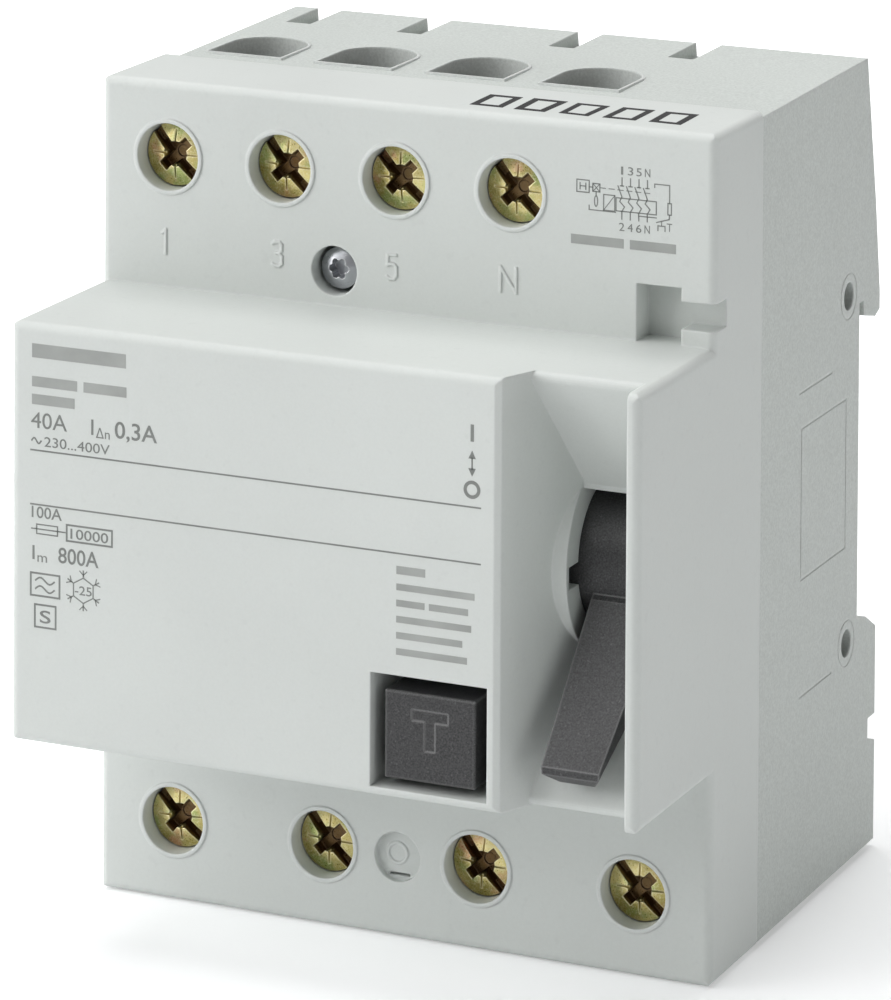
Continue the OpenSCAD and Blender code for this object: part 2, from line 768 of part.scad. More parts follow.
module toggle_lever() {
    pin = swing(lever_y, lever_z, crank_r, crank_angle);
    color(dark_c) difference() {
        union() {
            rod_x(drum_x0, drum_x1, lever_y, lever_z, drum_r);
            rod_x(20.5, drum_x0 + 1, pin[0], pin[1], 1.1);
            intersection() {
                along_x(24, drum_x1 - 0.1) polygon([
                    [-53.7, -1.5], [-54.5, -2.1], [-63.8, -17], [-63.5, -17.9], [-61.6, -19.1],
                    [-60.9, -18.9], [-52.4, -5], [-48, -4], [-47, 1]
                ]);
                along_y(-66, -40) polygon([[27, 2], [35.2, 2], [30.95, -20], [24.8, -20]]);
            }
        }
        // Chamfered corners at the rear of the paddle's end
        cut_beyond([24.9, -63.3, -17.4], [25.4, -58.9, -15.6], [26.4, -60.9, -18.9], 8);
        cut_beyond([31.5, -63.3, -17.4], [30.1, -60.9, -18.9], [31.3, -58.9, -15.6], 8);
        // Shallow round mark in the drum
        translate([33.4, lever_y, lever_z]) rotate([-40, 0, 0]) rod_y(0, -drum_r - 1, -drum_r + 0.3, 0, 2.3);
        rod_x(drum_x0 - 1, drum_x1 + 1, lever_y, lever_z, axle_r + run);
        // Room for the return spring
        difference() {
            rod_x(drum_x0 - 1, drum_x0 + 3, lever_y, lever_z, 6.5);
            rod_x(drum_x0 - 2, drum_x0 + 4, lever_y, lever_z, 4.6);
        }
    }
}

module lever_axle() {
    color(steel_c) rod_x(22.4, case_x - 0.6, lever_y, lever_z, axle_r);
}

module lever_spring() {
    color(steel_c) translate([drum_x0 + 0.2, lever_y, lever_z]) rotate([0, 90, 0])
        coil(5.5, 0.35, 2.5, 2.5);
}

// Pushes the contact rotor when the lever is raised
module coupling_link() {
    a = swing(lever_y, lever_z, crank_r, crank_angle);
    b = swing(rotor_y, rotor_z, rotor_crank_r, rotor_crank_angle);
    color(steel_c) difference() {
        along_x(20.6, 21.8) flat_bar(a, b, 2.6, 2.3, 2.4);
        rod_x(20, 23, a[0], a[1], 1.1 + run);
        rod_x(20, 23, b[0], b[1], 0.9 + 0.4);
    }
}

// ---- Test circuit ----

module test_button() {
    letter_top = -13.1;
    letter_foot = -17.3;
    letter_d = 0.1;
    color(dark_c) {
        difference() {
            union() {
                soft_box([button_a[0], button_front, button_a[1]], [button_b[0], -58, button_b[1]], 0.25);
                rod_y(button_x, -59, -49, button_z, 1.5);
            }
            // Ring of room for the spring
            difference() {
                rod_y(button_x, -61, -57, button_z, 3.6);
                rod_y(button_x, -62, -56, button_z, 1.5);
            }
            // Sunk letter
            translate([button_x, 0, 0]) {
                block([-2.05, -65, letter_top - 1.15], [2.05, button_front + letter_d, letter_top]);
                block([-0.58, -65, letter_foot], [0.58, button_front + letter_d, letter_top]);
            }
        }
    }
}

module test_spring() {
    color(steel_c) translate([button_x, button_floor - 0.05, button_z]) rotate([90, 0, 0])
        coil(2.4, 0.25, 6.85, 5);
}

module test_contact() {
    color(gold_c) along_x(10, 16.4)
        polygon([[-46.3, -12], [-46, -12], [-46, -19], [-42, -19], [-42, -19.3], [-46.3, -19.3]]);
}

module test_resistor() {
    color([0.45, 0.55, 0.45]) {
        rod_x(-20, -10, -56, 4, 1.9);
        rod_x(-22.4, -7.6, -56, 4, 0.35);
    }
}

module test_wires() {
    color(copper_c) {
        bent_wire([[10.5, -43, -20.3], [0.5, -56, -20], [0.5, -56, 3], [-7, -56, 4]], 0.45);
        bent_wire([[-23, -56, 4], [-23, -56, 19], [-23, -40, 19], [-26, -28.1, 23.2]], 0.45);
    }
}

module delay_board() {
    color([0.1, 0.35, 0.2]) block([-32.9, -58, -18], [-31.5, -33, 18]);
}

module delay_capacitor() {
    color([0.15, 0.2, 0.35]) rod_z(-27.3, -50, 2, 14, 4);
}

front_cover();
rear_housing();
cover_screw();
rail_slider();
rail_slider_spring();
terminal_screw_1();
terminal_screw_3();
terminal_screw_5();
terminal_screw_n_line();
terminal_screw_2();
terminal_screw_4();
terminal_screw_6();
terminal_screw_n_load();
clamp_cage_1();
clamp_cage_3();
clamp_cage_5();
clamp_cage_n_line();
clamp_cage_2();
clamp_cage_4();
clamp_cage_6();
clamp_cage_n_load();
line_bars();
load_bars();
fixed_contact_tips();
contact_rotor();
rotor_crank();
moving_contact_arms();
moving_contact_tips();
rotor_axle();
contact_springs();
arc_splitter_plates();
transformer_core();
transformer_case();
secondary_winding();
primary_conductors();
relay_case();
relay_yoke();
relay_coil();
relay_magnet();
relay_plunger();
relay_spring();
trip_lever();
trip_lever_pin();
mechanism_plate();
latch_pawl();
latch_pin();
toggle_lever();
lever_axle();
lever_spring();
coupling_link();
test_button();
test_spring();
test_contact();
test_resistor();
test_wires();
delay_board();
delay_capacitor();
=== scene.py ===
"""A four-pole residual current device on a pale studio floor."""
import json
import math
import random

import bmesh
import bpy
from mathutils import Matrix, Vector


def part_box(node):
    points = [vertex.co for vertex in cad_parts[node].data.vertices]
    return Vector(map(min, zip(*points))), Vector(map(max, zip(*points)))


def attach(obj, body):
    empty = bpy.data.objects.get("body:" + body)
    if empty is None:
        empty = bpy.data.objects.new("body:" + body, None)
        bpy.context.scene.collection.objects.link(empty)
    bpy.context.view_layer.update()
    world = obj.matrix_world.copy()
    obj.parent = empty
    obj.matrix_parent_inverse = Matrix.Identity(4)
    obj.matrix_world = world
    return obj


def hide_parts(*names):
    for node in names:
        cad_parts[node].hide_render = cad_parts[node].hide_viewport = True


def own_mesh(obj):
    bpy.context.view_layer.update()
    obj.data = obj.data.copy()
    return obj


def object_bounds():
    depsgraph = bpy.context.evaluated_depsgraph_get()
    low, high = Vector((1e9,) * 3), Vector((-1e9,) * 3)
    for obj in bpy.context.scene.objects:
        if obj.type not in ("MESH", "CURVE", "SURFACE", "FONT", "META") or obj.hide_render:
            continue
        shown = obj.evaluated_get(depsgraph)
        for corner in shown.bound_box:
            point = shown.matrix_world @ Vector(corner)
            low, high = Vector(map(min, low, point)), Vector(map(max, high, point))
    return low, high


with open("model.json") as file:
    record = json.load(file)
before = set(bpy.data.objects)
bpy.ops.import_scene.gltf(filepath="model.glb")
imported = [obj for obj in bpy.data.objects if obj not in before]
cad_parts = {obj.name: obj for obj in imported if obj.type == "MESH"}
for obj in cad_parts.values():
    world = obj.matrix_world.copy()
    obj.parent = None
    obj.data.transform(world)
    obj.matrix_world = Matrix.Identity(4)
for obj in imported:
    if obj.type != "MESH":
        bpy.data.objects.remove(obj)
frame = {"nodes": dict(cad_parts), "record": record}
CAD_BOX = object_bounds()
NODES = frame["nodes"]
MM = 0.001

# ---- Places on the cover ----
# The cap's face and the top are sides of the cover's CAD box. The shoulders' face lies within that box.
COVER_LO, COVER_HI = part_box("front_cover")
CAP_Y = COVER_LO.y
TOP_Z = COVER_HI.z
SHOULDER_Y = -44 * MM

# ---- Print ----
# The thickness of the ink, and the height of a capital in the built-in font at size 1.
INK = 0.02 * MM
FONT_CAP = 0.729


# ---- Node material helpers ----

class Paint:
    """A small builder for one procedural material."""

    def __init__(self, name):
        self.mat = bpy.data.materials.new(name)
        self.mat.use_nodes = True
        self.tree = self.mat.node_tree
        self.bsdf = self.tree.nodes["Principled BSDF"]
        self.place = self.node("ShaderNodeTexCoord").outputs["Object"]

    def node(self, kind, **inputs):
        made = self.tree.nodes.new(kind)
        for key, value in inputs.items():
            self.plug(made.inputs[key.replace("_", " ")], value)
        return made

    def plug(self, socket, value):
        if isinstance(value, bpy.types.NodeSocket):
            self.tree.links.new(value, socket)
        else:
            socket.default_value = value

    def set(self, **inputs):
        for key, value in inputs.items():
            self.plug(self.bsdf.inputs[key.replace("_", " ")], value)

    def noise(self, scale, detail=3.0, rough=0.5, place=None):
        made = self.node("ShaderNodeTexNoise", Vector=place or self.place,
                         Scale=scale, Detail=detail, Roughness=rough)
        return made.outputs["Fac"]

    def stretched(self, x, y, z):
        made = self.node("ShaderNodeMapping", Vector=self.place, Scale=(x, y, z))
        return made.outputs["Vector"]

    def ramp(self, value, low, high, out_low=0.0, out_high=1.0):
        made = self.node("ShaderNodeMapRange", Value=value)
        made.inputs["From Min"].default_value = low
        made.inputs["From Max"].default_value = high
        made.inputs["To Min"].default_value = out_low
        self.plug(made.inputs["To Max"], out_high)
        return made.outputs["Result"]

    def mix(self, fac, a, b):
        made = self.tree.nodes.new("ShaderNodeMix")
        made.data_type = "RGBA"
        for socket, value in ((made.inputs[0], fac), (made.inputs[6], a), (made.inputs[7], b)):
            self.plug(socket, value)
        return made.outputs[2]

    def times(self, a, b):
        made = self.tree.nodes.new("ShaderNodeMath")
        made.operation = "MULTIPLY"
        self.plug(made.inputs[0], a)
        self.plug(made.inputs[1], b)
        return made.outputs[0]

    def scaled(self, colour, factor):
        """The colour made darker or lighter by a plain factor."""
        made = self.tree.nodes.new("ShaderNodeVectorMath")
        made.operation = "SCALE"
        self.plug(made.inputs[0], colour)
        self.plug(made.inputs["Scale"], factor)
        return made.outputs[0]

    def depth(self):
        """How far back a point lies, as its own Y."""
        return self.node("ShaderNodeSeparateXYZ", Vector=self.place).outputs["Y"]

    def rounded(self, radius):
        """The surface's normal as if its edges were rounded by radius."""
        soft = self.tree.nodes.new("ShaderNodeBevel")
        soft.samples = 6
        soft.inputs["Radius"].default_value = radius
        return soft.outputs[0]

    def edge(self, radius, low=0.004, high=0.05):
        """1 along edges within radius, 0 on flats."""
        soft = self.rounded(radius)
        flat = self.tree.nodes.new("ShaderNodeNewGeometry")
        dot = self.tree.nodes.new("ShaderNodeVectorMath")
        dot.operation = "DOT_PRODUCT"
        self.plug(dot.inputs[0], soft)
        self.plug(dot.inputs[1], flat.outputs["Normal"])
        return self.ramp(dot.outputs["Value"], 1 - low, 1 - high)

    def relief(self, *layers, round_edge=0.0):
        """Stacks bumps given as (height, strength, distance) over rounded edges."""
        normal = self.rounded(round_edge) if round_edge else None
        for height, strength, distance in layers:
            bump = self.node("ShaderNodeBump", Height=height, Strength=strength, Distance=distance)
            if normal is not None:
                self.plug(bump.inputs["Normal"], normal)
            normal = bump.outputs[0]
        self.plug(self.bsdf.inputs["Normal"], normal)


def rgb(r, g, b):
    """An sRGB colour from 0-255 values, as the linear colour nodes take."""
    def linear(c):
        c = c / 255
        return c / 12.92 if c <= 0.04045 else ((c + 0.055) / 1.055) ** 2.4
    return (linear(r), linear(g), linear(b), 1.0)


# ---- Materials ----

def housing(name, base, grain, mottle=0.012):
    """Light grey moulded plastic with an eroded grain, faint flow clouds and painted highlights along the
    edges.
    """
    p = Paint(name)
    clouds = p.noise(22, 4, 0.55)
    grains = p.noise(3400, 2, 0.6)
    specks = p.noise(900, 2, 0.5)
    lo = tuple(c * 0.965 for c in base[:3]) + (1.0,)
    hi = tuple(min(1.0, c * 1.03) for c in base[:3]) + (1.0,)
    colour = p.mix(p.ramp(clouds, 0.3, 0.7), lo, hi)
    shade = p.ramp(grains, 0.3, 0.7, 1 - 2 * mottle, 1.0)
    colour = p.scaled(colour, shade)
    colour = p.mix(p.ramp(specks, 0.62, 0.75, 0.0, 0.08), colour, rgb(168, 171, 170))
    # Painted highlight: every edge is lightened towards pale grey, standing in for light caught by the
    # rounded edges.
    colour = p.mix(p.times(p.edge(0.35 * MM), 0.35), colour, rgb(236, 238, 237))
    p.set(Base_Color=colour, Roughness=p.ramp(clouds, 0.3, 0.7, 0.46, 0.56), IOR=1.47,
          Subsurface_Weight=0.04, Subsurface_Radius=(1.0, 0.9, 0.8), Subsurface_Scale=0.6 * MM)
    p.relief((grains, grain, 0.02 * MM), (specks, 0.06, 0.05 * MM), round_edge=0.30 * MM)
    return p.mat


def charcoal(name):
    """Near-black glass-filled plastic with a dense pale grain, a satin sheen and painted highlights along the
    edges.
    """
    p = Paint(name)
    clouds = p.noise(60, 3, 0.5)
    grains = p.noise(5200, 2, 0.7)
    fleck = p.noise(2600, 2, 0.65)
    colour = p.mix(p.ramp(grains, 0.34, 0.66), rgb(26, 26, 27), rgb(66, 66, 67))
    colour = p.mix(p.ramp(fleck, 0.62, 0.74, 0.0, 0.3), colour, rgb(108, 108, 108))
    # Painted highlight: a thin light grey line along every edge, standing in for light caught by the rounded
    # edges.
    colour = p.mix(p.times(p.edge(0.3 * MM, 0.004, 0.03), 0.7), colour, rgb(138, 138, 138))
    p.set(Base_Color=colour, Roughness=p.ramp(clouds, 0.3, 0.7, 0.38, 0.5), IOR=1.5)
    p.relief((grains, 0.7, 0.03 * MM), (clouds, 0.1, 0.1 * MM), round_edge=0.25 * MM)
    return p.mat


def yellow_zinc(name):
    """Yellow passivated zinc: olive gold with green and rose tints and painted highlights along the edges;
    inside the driver recess it is browned, and darkened further as painted shade.
    """
    p = Paint(name)
    film = p.noise(190, 3, 0.55)
    wash = p.noise(420, 2, 0.5)
    scratch = p.noise(1500, 3, 0.6, p.stretched(6, 1, 1))
    frost = p.noise(5200, 2, 0.7)
    colour = p.mix(p.ramp(film, 0.36, 0.62), rgb(168, 154, 84), rgb(228, 214, 150))
    colour = p.mix(p.ramp(wash, 0.54, 0.68, 0.0, 0.7), colour, rgb(156, 176, 108))
    colour = p.mix(p.ramp(wash, 0.42, 0.28, 0.0, 0.7), colour, rgb(214, 158, 130))
    colour = p.mix(p.ramp(frost, 0.5, 0.68, 0.0, 0.5), colour, rgb(236, 232, 196))
    # Painted highlight: the edges are lightened towards pale gold.
    colour = p.mix(p.times(p.edge(0.25 * MM), 0.6), colour, rgb(248, 238, 200))
    # Inside the driver recess the colour turns dark brown: partly the brown of the zinc film, partly painted
    # shade for the hollow.
    below_face, above_floor = (-41.9 * MM, -41.4 * MM), (-38.6 * MM, -39.6 * MM)
    recess_tint_and_shade = p.times(p.ramp(p.depth(), *below_face), p.ramp(p.depth(), *above_floor))
    colour = p.mix(p.times(recess_tint_and_shade, 0.88), colour, rgb(86, 56, 40))
    p.set(Base_Color=colour, Metallic=1.0, Roughness=p.ramp(frost, 0.3, 0.7, 0.24, 0.46))
    p.relief((scratch, 0.25, 0.02 * MM), (wash, 0.3, 0.08 * MM), (frost, 0.25, 0.02 * MM),
             round_edge=0.18 * MM)
    return p.mat


def metal(name, dark, light, rough, scale=700):
    """Rolled or drawn metal with fine lines, dull patches and painted highlights along the edges."""
    p = Paint(name)
    lines = p.noise(scale, 3, 0.6, p.stretched(1, 1, 9))
    dull = p.noise(160, 3, 0.5)
    colour = p.mix(p.ramp(dull, 0.3, 0.7), dark, light)
    # Painted highlight: the edges are lightened towards near white.
    colour = p.mix(p.times(p.edge(0.2 * MM), 0.5), colour, rgb(235, 235, 235))
    p.set(Base_Color=colour, Metallic=1.0, Roughness=p.ramp(lines, 0.3, 0.7, rough, rough + 0.16))
    p.relief((lines, 0.2, 0.02 * MM), round_edge=0.12 * MM)
    return p.mat


def lacquer(name, dark, light, rough=0.3, bump=0.1):
    """Coated part: enamel, sleeve, board or print."""
    p = Paint(name)
    clouds = p.noise(260, 3, 0.5)
    grains = p.noise(2200, 2, 0.6)
    p.set(Base_Color=p.mix(p.ramp(clouds, 0.3, 0.7), dark, light),
          Roughness=p.ramp(grains, 0.3, 0.7, rough, rough + 0.15))
    p.relief((grains, bump, 0.02 * MM))
    return p.mat


SLOTS = {
    "housing_plastic": housing("housing_grain", rgb(208, 212, 209), 0.35),
    "dark_plastic": charcoal("charcoal_speckle"),
    "yellow_zinc": yellow_zinc("yellow_zinc"),
    "steel": metal("plated_steel", rgb(150, 152, 156), rgb(196, 198, 202), 0.26),
    "copper": metal("bare_copper", rgb(176, 104, 66), rgb(216, 142, 100), 0.25),
    "winding_wire": lacquer("wire_enamel", rgb(128, 52, 22), rgb(166, 80, 36), 0.22),
    "contact_silver": metal("silver_alloy", rgb(196, 196, 198), rgb(228, 228, 230), 0.22, 1200),
    "resistor_body": lacquer("resistor_lacquer", rgb(92, 118, 98), rgb(116, 142, 120)),
    "wire_cover": lacquer("wire_cover", rgb(34, 44, 92), rgb(46, 58, 112), 0.35),
    "board": lacquer("solder_mask", rgb(22, 78, 46), rgb(34, 98, 60), 0.3),
    "sleeve": lacquer("capacitor_sleeve", rgb(26, 34, 66), rgb(38, 48, 86), 0.28),
}
REAR_SHELL = housing("rear_housing_grain", rgb(204, 209, 205), 0.9, 0.09)


def paint_nodes():
    for part in frame["record"]["subparts"]:
        mesh = NODES[part["node"]].data
        finish = SLOTS[part["material_slot"]]
        if part["node"] in ("rear_housing", "rail_slider"):
            finish = REAR_SHELL
        mesh.materials.clear()
        mesh.materials.append(finish)


paint_nodes()


# ---- Springs on the case ----

def soft_spring(node):
    """A copy of the coil with its CAD shape, which rides on the case in place of the hidden CAD part."""
    piece = bpy.data.objects.new(node + "_wire", NODES[node].data.copy())
    bpy.context.scene.collection.objects.link(piece)
    piece.matrix_world = NODES[node].matrix_world.copy()
    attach(piece, "case")
    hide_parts(node)
    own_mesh(piece)


soft_spring("test_spring")
soft_spring("relay_spring")
soft_spring("rail_slider_spring")


# ---- Printed marks ----
# Every mark is a thin layer of ink on the cover. Its strokes are drawn in millimetres on a sheet's X-Z
# plane, and a matrix then lays the sheet on the cap, a shoulder or the top.

GREY_INK = lacquer("grey_ink", rgb(116, 119, 116), rgb(132, 135, 132), 0.5, 0.05)
PALE_INK = lacquer("pale_ink", rgb(150, 153, 150), rgb(163, 166, 163), 0.5, 0.05)
BLACK_INK = lacquer("black_ink", rgb(14, 14, 15), rgb(24, 24, 25), 0.72, 0.05)


class Sheet:
    """Collects flat strokes, then makes one mesh of them on a plane."""

    def __init__(self):
        self.mesh = bmesh.new()

    def vert(self, point):
        return self.mesh.verts.new((point[0] * MM, 0, point[1] * MM))

    def shape(self, outline):
        """A closed outline, given as millimetre points."""
        self.mesh.faces.new([self.vert(point) for point in outline])

    def path(self, points, w, closed=False):
        """One mitred stroke of width w along the points, with square ends."""
        points = [Vector(p) for p in points]
        last = len(points) - 1
        rails = []
        for i, p in enumerate(points):
            ways = []
            if closed or i > 0:
                ways.append((p - points[i - 1]).normalized())
            if closed or i < last:
                ways.append((points[(i + 1) % (last + 1)] - p).normalized())
            along = (ways[0] + ways[-1]).normalized()
            side = Vector((-along.y, along.x))
            reach = w / 2 / max(0.4, side.dot(Vector((-ways[0].y, ways[0].x))))
            if len(ways) == 1:
                p = p + along * (w / 2 if i else -w / 2)
            rails.append((self.vert(p + side * reach), self.vert(p - side * reach)))
        ends = rails[1:] + (rails[:1] if closed else [])
        for (a, b), (c, d) in zip(rails, ends):
            self.mesh.faces.new((a, b, d, c))

    def line(self, a, b, w):
        self.path([a, b], w)

    def box(self, lo, hi, w):
        self.path([lo, (hi[0], lo[1]), hi, (lo[0], hi[1])], w, closed=True)

    def ring(self, centre, rx, rz, w, steps=36):
        turn = [2 * math.pi * i / steps for i in range(steps)]
        rim = [(centre[0] + rx * math.cos(a), centre[1] + rz * math.sin(a)) for a in turn]
        self.path(rim, w, closed=True)

    def wave(self, left, right, z, high, w):
        """One full wave between left and right, about the height z."""
        steps = 24
        self.path([(left + (right - left) * i / steps, z + high * math.sin(2 * math.pi * i / steps))
                   for i in range(steps + 1)], w)

    def text(self, words, left, right, foot, cap, bold=0.0):
        """Generic numerals or signs from left to right, standing on foot with capitals cap high."""
        curve = bpy.data.curves.new("type", "FONT")
        curve.body = words
        curve.offset = bold
        curve.resolution_u = 4
        draft = bpy.data.objects.new("type", curve)
        data = bpy.data.meshes.new_from_object(draft)
        start = min(v.co.x for v in data.vertices)
        stop = max(v.co.x for v in data.vertices)
        wide = (right - left) / (stop - start)
        tall = cap / FONT_CAP
        verts = [self.vert((left + (v.co.x - start) * wide, foot + v.co.y * tall)) for v in data.vertices]
        for face in data.polygons:
            self.mesh.faces.new([verts[i] for i in face.vertices])
        bpy.data.objects.remove(draft)
        bpy.data.curves.remove(curve)
        bpy.data.meshes.remove(data)

    def bar(self, left, foot, wide, tall):
        self.shape([(left, foot), (left + wide, foot), (left + wide, foot + tall), (left, foot + tall)])

    def finish(self, name, place, ink):
        """Thickens the strokes, moves them by the matrix place, and rides them on the case."""
        flat = self.mesh.faces[:]
        bmesh.ops.recalc_face_normals(self.mesh, faces=flat)
        raised = bmesh.ops.extrude_face_region(self.mesh, geom=flat)
        moved = [v for v in raised["geom"] if isinstance(v, bmesh.types.BMVert)]
        bmesh.ops.translate(self.mesh, vec=(0, -INK, 0), verts=moved)
        bmesh.ops.recalc_face_normals(self.mesh, faces=self.mesh.faces[:])
        data = bpy.data.meshes.new(name)
        self.mesh.to_mesh(data)
        self.mesh.free()
        data.materials.append(ink)
        data.transform(place)
        piece = bpy.data.objects.new(name, data)
        bpy.context.scene.collection.objects.link(piece)
        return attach(piece, "case")


ON_CAP = Matrix.Translation((0, CAP_Y, 0))
ON_SHOULDER = Matrix.Translation((0, SHOULDER_Y, 0))
ON_TOP = Matrix.Translation((0, 0, TOP_Z)) @ Matrix.Rotation(math.radians(-90), 4, "X")


def ruled_lines():
    s = Sheet()
    for z in (8.95, 3.15):
        s.line((-33.6, z), (18.5, z), 0.17)
    s.finish("cap_rules", ON_CAP, GREY_INK)


def switch_sign():
    """A bar for on, a ring for off and a double arrow between them."""
    x = 17.55
    s = Sheet()
    s.line((x, 15.9), (x, 17.3), 0.37)
    s.ring((x, 10.75), 0.76, 0.76, 0.36)
    s.line((x, 12.9), (x, 14.0), 0.16)
    for tip, way in ((12.1, 1), (14.8, -1)):
        s.shape([(x, tip), (x - 0.42, tip + way * 0.85), (x + 0.42, tip + way * 0.85)])
    s.finish("switch_sign", ON_CAP, GREY_INK)


def rated_values():
    """Rated current, voltage range and residual current, with their plain symbols."""
    s = Sheet()
    s.text("40A", -33.6, -29.3, 11.35, 1.78)
    s.text("I", -26.4, -26.15, 11.35, 1.75)
    s.text("\u0394n", -25.85, -24.2, 11.1, 1.1)
    s.text("0,3A", -23.6, -18.6, 11.35, 1.85, 0.008)
    s.wave(-33.5, -32.4, 9.98, 0.28, 0.17)
    s.text("230...400V", -32.0, -24.2, 9.45, 1.1)
    s.finish("rated_values", ON_CAP, GREY_INK)


def fuse_sign():
    """A fuse in line with its value and the boxed short-circuit current."""
    s = Sheet()
    s.text("100A", -33.5, -29.9, 1.75, 1.28, 0.006)
    s.line((-33.5, 0.55), (-29.5, 0.55), 0.14)
    s.box((-32.9, 0.05), (-30.4, 1.05), 0.14)
    s.box((-29.3, -0.3), (-23.9, 1.4), 0.2)
    s.text("10000", -28.85, -24.35, 0.0, 1.12, 0.006)
    s.finish("fuse_sign", ON_CAP, GREY_INK)


def making_capacity():
    s = Sheet()
    s.text("I", -33.4, -33.15, -2.75, 1.6)
    s.text("m", -32.8, -31.65, -2.95, 1.1)
    s.text("800A", -30.3, -25.5, -2.75, 1.72, 0.008)
    s.finish("making_capacity", ON_CAP, GREY_INK)


def wave_sign():
    """Two waves in a box: alternating and pulsed current."""
    s = Sheet()
    s.box((-33.6, -6.6), (-30.15, -4.2), 0.2)
    s.wave(-33.0, -30.8, -4.95, 0.32, 0.18)
    s.wave(-33.0, -30.8, -5.85, 0.32, 0.18)
    s.finish("wave_sign", ON_CAP, GREY_INK)


def frost_sign():
    """A six-pointed frost star round the lowest temperature."""
    centre = Vector((-27.3, -5.4))
    s = Sheet()
    rim = []
    for k in range(6):
        turn = math.radians(60 * k + 30)
        out = Vector((math.cos(turn), math.sin(turn)))
        side = Vector((-out.y, out.x))
        rim.append(centre + out * 1.35)
        s.line(centre + out * 1.5, centre + out * 2.1, 0.14)
        for hand in (-1, 1):
            s.line(centre + out * 1.65, centre + out * 2.05 + side * hand * 0.42, 0.11)
    s.path(rim, 0.13, closed=True)
    s.text("-25", -28.3, -26.3, -5.9, 1.0, 0.004)
    s.finish("frost_sign", ON_CAP, GREY_INK)


def delay_sign():
    s = Sheet()
    s.box((-33.1, -9.95), (-30.6, -7.55), 0.2)
    s.text("S", -32.5, -31.2, -9.45, 1.4, 0.008)
    s.finish("delay_sign", ON_CAP, GREY_INK)


def plain_bars(name, rows, ink, place):
    """Neutral bars that keep the rhythm of a block of small print without spelling anything.
    Each row is (left, foot, height, lengths of the words)."""
    s = Sheet()
    for left, foot, tall, words in rows:
        x = left
        for word in words:
            s.bar(x, foot, word, tall)
            x += word + tall * 0.7
    s.finish(name, place, ink)


def instruction_bars():
    left, foot, pitch = 9.1, 1.0, 1.68
    rows = [(left, foot, 0.85, [3.25])]
    for i, words in enumerate(([8.8], [3.2, 4.4], [8.45], [7.45], [8.0])):
        rows.append((left, foot - pitch * (i + 1), 0.7, words))
    plain_bars("instruction_bars", rows, PALE_INK, ON_CAP)


def maker_bars():
    rows = [
        (-33.5, 18.85, 1.5, [11.2]),
        (-33.5, 15.75, 1.1, [5.4, 5.1]),
        (-33.5, 13.85, 1.1, [5.1]),
    ]
    plain_bars("maker_bars", rows, PALE_INK, ON_CAP)


def circuit_diagram():
    """Four contacts linked to a toggle, a sensing ring and relay, and a test branch."""
    s = Sheet()
    w, thin = 0.12, 0.09
    x0, step = 25.41, 0.96
    poles = [x0 + step * i for i in range(4)]
    for x, above, below in zip(poles, "135N", "246N"):
        half = 0.12 if above == "1" else 0.3
        s.text(above, x - half, x + half, 39.9, 0.9)
        s.text(below, x - 0.3, x + 0.3, 33.95, 0.9)
        s.line((x, 39.54), (x, 38.7), w)
        s.line((x - 0.18, 38.7), (x + 0.18, 38.7), w)
        s.path([(x - 0.45, 38.66), (x, 37.53), (x - 0.25, 37.05), (x + 0.3, 36.5), (x, 36.0), (x, 35.2)], w)
    for i in range(6):
        x = 22.95 + i
        s.line((x, 38.27 - 0.012 * i), (x + 0.6, 38.26 - 0.012 * i), thin)
    s.box((20.28, 37.64), (21.69, 38.93), w)
    s.line((20.65, 37.95), (20.65, 38.6), w)
    s.line((21.3, 37.95), (21.3, 38.6), w)
    s.line((20.65, 38.28), (21.3, 38.28), w)
    s.line((21.69, 38.25), (22.1, 38.25), w)
    s.box((22.1, 37.82), (22.9, 38.66), w)
    s.line((22.1, 37.82), (22.9, 38.66), thin)
    s.line((22.1, 38.66), (22.9, 37.82), thin)
    s.line((22.48, 37.4), (22.48, 37.82), w)
    s.ring((22.48, 36.82), 0.18, 0.56, w, 20)
    s.path([(21.7, 36.3), (21.7, 35.85), (24.7, 35.85)], w)
    s.box((23.34, 35.95), (24.6, 37.6), w)
    s.line((23.34, 35.95), (24.6, 37.6), thin)
    s.box((24.75, 36.02), (29.3, 37.4), w)
    s.path([(29.1, 38.9), (29.1, 39.25), (30.79, 39.25), (30.79, 37.35)], w)
    s.box((30.6, 36.15), (31.0, 37.35), w)
    s.line((30.79, 36.15), (30.76, 35.67), w)
    s.line((29.35, 35.23), (30.76, 35.67), w)
    s.line((poles[2], 35.7), (29.3, 35.7), w)
    s.path([(29.5, 34.4), (29.5, 34.9), (30.3, 34.9), (30.3, 34.4)], w)
    s.line((29.9, 34.9), (29.9, 35.4), thin)
    s.text("T", 30.5, 31.1, 34.4, 0.9)
    s.finish("circuit_diagram", ON_SHOULDER, GREY_INK)
    plain_bars("diagram_bars", [(19.65, 32.1, 1.0, [6.0, 5.2])], PALE_INK, ON_SHOULDER)


def stamped_marks():
    """A row of five like boxes, stamped a little unevenly in black on the top."""
    s = Sheet()
    shake = random.Random(11)
    half, tall, weight = 1.45, 2.5, 0.8
    first, pitch, z = 8.3, 5.1, -37.9
    stray = 0.14
    for i in range(5):
        x = first + pitch * i
        corners = [(x - half, z - tall), (x + half, z - tall), (x + half, z + tall), (x - half, z + tall)]
        loose = [(px + shake.uniform(-stray, stray), pz + shake.uniform(-stray, stray)) for px, pz in corners]
        s.path(loose, weight * shake.uniform(0.92, 1.08), closed=True)
    s.finish("stamped_marks", ON_TOP, BLACK_INK)


ruled_lines()
switch_sign()
rated_values()
fuse_sign()
making_capacity()
wave_sign()
frost_sign()
delay_sign()
instruction_bars()
maker_bars()
circuit_diagram()
stamped_marks()


# ---- Studio ----

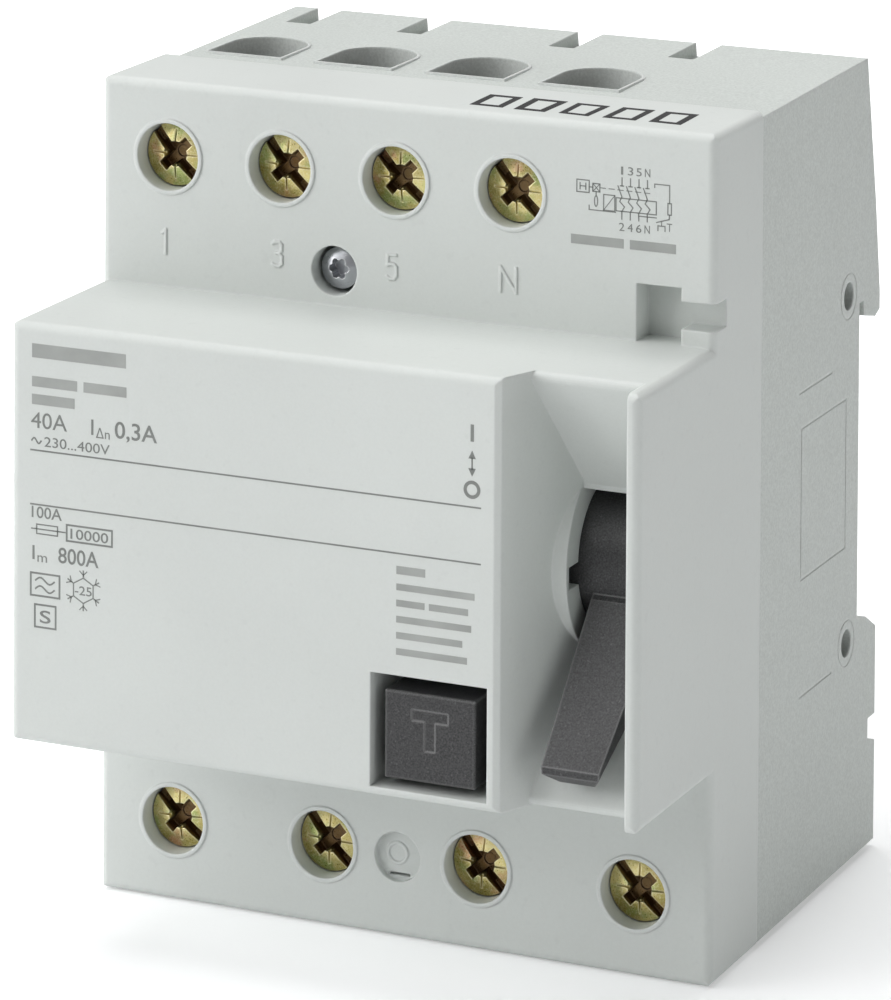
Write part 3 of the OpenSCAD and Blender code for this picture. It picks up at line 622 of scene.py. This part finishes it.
def studio_floor():
    """A wide pale floor. Seen by the camera it glows, more so far off, so that it runs into the white."""
    gap = 0.2 * MM
    floor_z = CAD_BOX[0][2] - gap
    mesh = bpy.data.meshes.new("floor")
    half = 3.0
    corners = [(x * half, y * half, floor_z) for x, y in ((-1, -1), (1, -1), (1, 1), (-1, 1))]
    mesh.from_pydata(corners, [], [(0, 1, 2, 3)])
    p = Paint("pale_floor")
    seen = p.tree.nodes.new("ShaderNodeLightPath").outputs["Is Camera Ray"]
    away = p.tree.nodes.new("ShaderNodeVectorMath")
    away.operation = "LENGTH"
    p.plug(away.inputs[0], p.place)
    glow = p.ramp(away.outputs["Value"], 0.2, 0.7, 0.3, 0.95)
    p.set(Base_Color=rgb(244, 245, 246), Roughness=p.ramp(p.noise(40), 0.3, 0.7, 0.55, 0.65),
          Specular_IOR_Level=0.2, Emission_Color=(1, 1, 1, 1),
          Emission_Strength=p.ramp(seen, 0, 1, 0.08, glow))
    mesh.materials.append(p.mat)
    floor = bpy.data.objects.new("floor", mesh)
    bpy.context.scene.collection.objects.link(floor)


def soft_light(name, place, size, power):
    """A square white softbox aimed at the middle of the device."""
    data = bpy.data.lights.new(name, "AREA")
    data.size = size
    data.energy = power
    lamp = bpy.data.objects.new(name, data)
    bpy.context.scene.collection.objects.link(lamp)
    lamp.location = place
    aim = Vector((0, -0.03, 0)) - lamp.location
    lamp.rotation_euler = aim.to_track_quat("-Z", "Y").to_euler()


def ambient(seen, cast, shine):
    """A white room: its brightness to the camera, the soft light it casts and its shine in reflections."""
    world = bpy.data.worlds.new("studio")
    world.use_nodes = True
    tree = world.node_tree
    back = tree.nodes["Background"]
    back.inputs["Color"].default_value = (1, 1, 1, 1)
    ray = tree.nodes.new("ShaderNodeLightPath")
    level = cast
    for kind, bright in (("Is Glossy Ray", shine), ("Is Camera Ray", seen)):
        pick = tree.nodes.new("ShaderNodeMix")
        pick.inputs[3].default_value = bright
        if isinstance(level, bpy.types.NodeSocket):
            tree.links.new(level, pick.inputs[2])
        else:
            pick.inputs[2].default_value = level
        tree.links.new(ray.outputs[kind], pick.inputs[0])
        level = pick.outputs[0]
    tree.links.new(level, back.inputs["Strength"])
    bpy.context.scene.world = world
    bpy.context.scene.view_settings.view_transform = "Standard"


def photo_camera():
    """A view camera whose film stays upright while it looks slightly down, so that uprights stay parallel."""
    azimuth, elevation, roll = 0.42507, 0.04318, 0.00542
    fall = 0.233764
    place = Vector((243.412, -571.724, 165.031)) * MM
    back = Vector((math.sin(azimuth) * math.cos(elevation), -math.cos(azimuth) * math.cos(elevation),
                   math.sin(elevation)))
    right = Vector((math.cos(azimuth), math.sin(azimuth), 0))
    up = back.cross(right)
    across = right * math.cos(roll) + up * math.sin(roll)
    rise = up * math.cos(roll) - right * math.sin(roll)
    look = (back + rise * fall).normalized()
    camera = bpy.data.objects.new("camera", bpy.data.cameras.new("camera"))
    camera.data.sensor_width = 36
    camera.data.lens = 203.32
    camera.data.clip_start = 0.01
    film = bpy.data.objects.new("film_plane", None)
    for made in (camera, film):
        bpy.context.scene.collection.objects.link(made)
    camera.parent = film
    camera.matrix_parent_inverse = Matrix((
        (across.x, rise.x, look.x, place.x),
        (across.y, rise.y, look.y, place.y),
        (across.z, rise.z, look.z, place.z),
        (0, 0, 0, 1),
    ))
    bpy.context.scene.camera = camera


studio_floor()
ambient(1.0, 0.03, 0.32)
soft_light("key", (-1.0, -0.75, 0.35), 0.7, 7.4)
soft_light("high_front", (-0.45, -0.9, 0.8), 0.8, 4.2)
soft_light("high_left", (-0.9, -0.3, 0.8), 0.7, 1.8)
soft_light("top", (-0.15, 0.0, 0.95), 0.7, 5.8)
soft_light("rear_top", (-0.2, 0.5, 0.9), 0.7, 2.0)
soft_light("right_front", (1.1, -0.5, 0.2), 0.7, 1.8)
soft_light("side", (1.2, 0.05, 0.1), 0.7, 2.7)
soft_light("back", (0.1, 1.25, 0.45), 0.8, 3.5)
photo_camera()
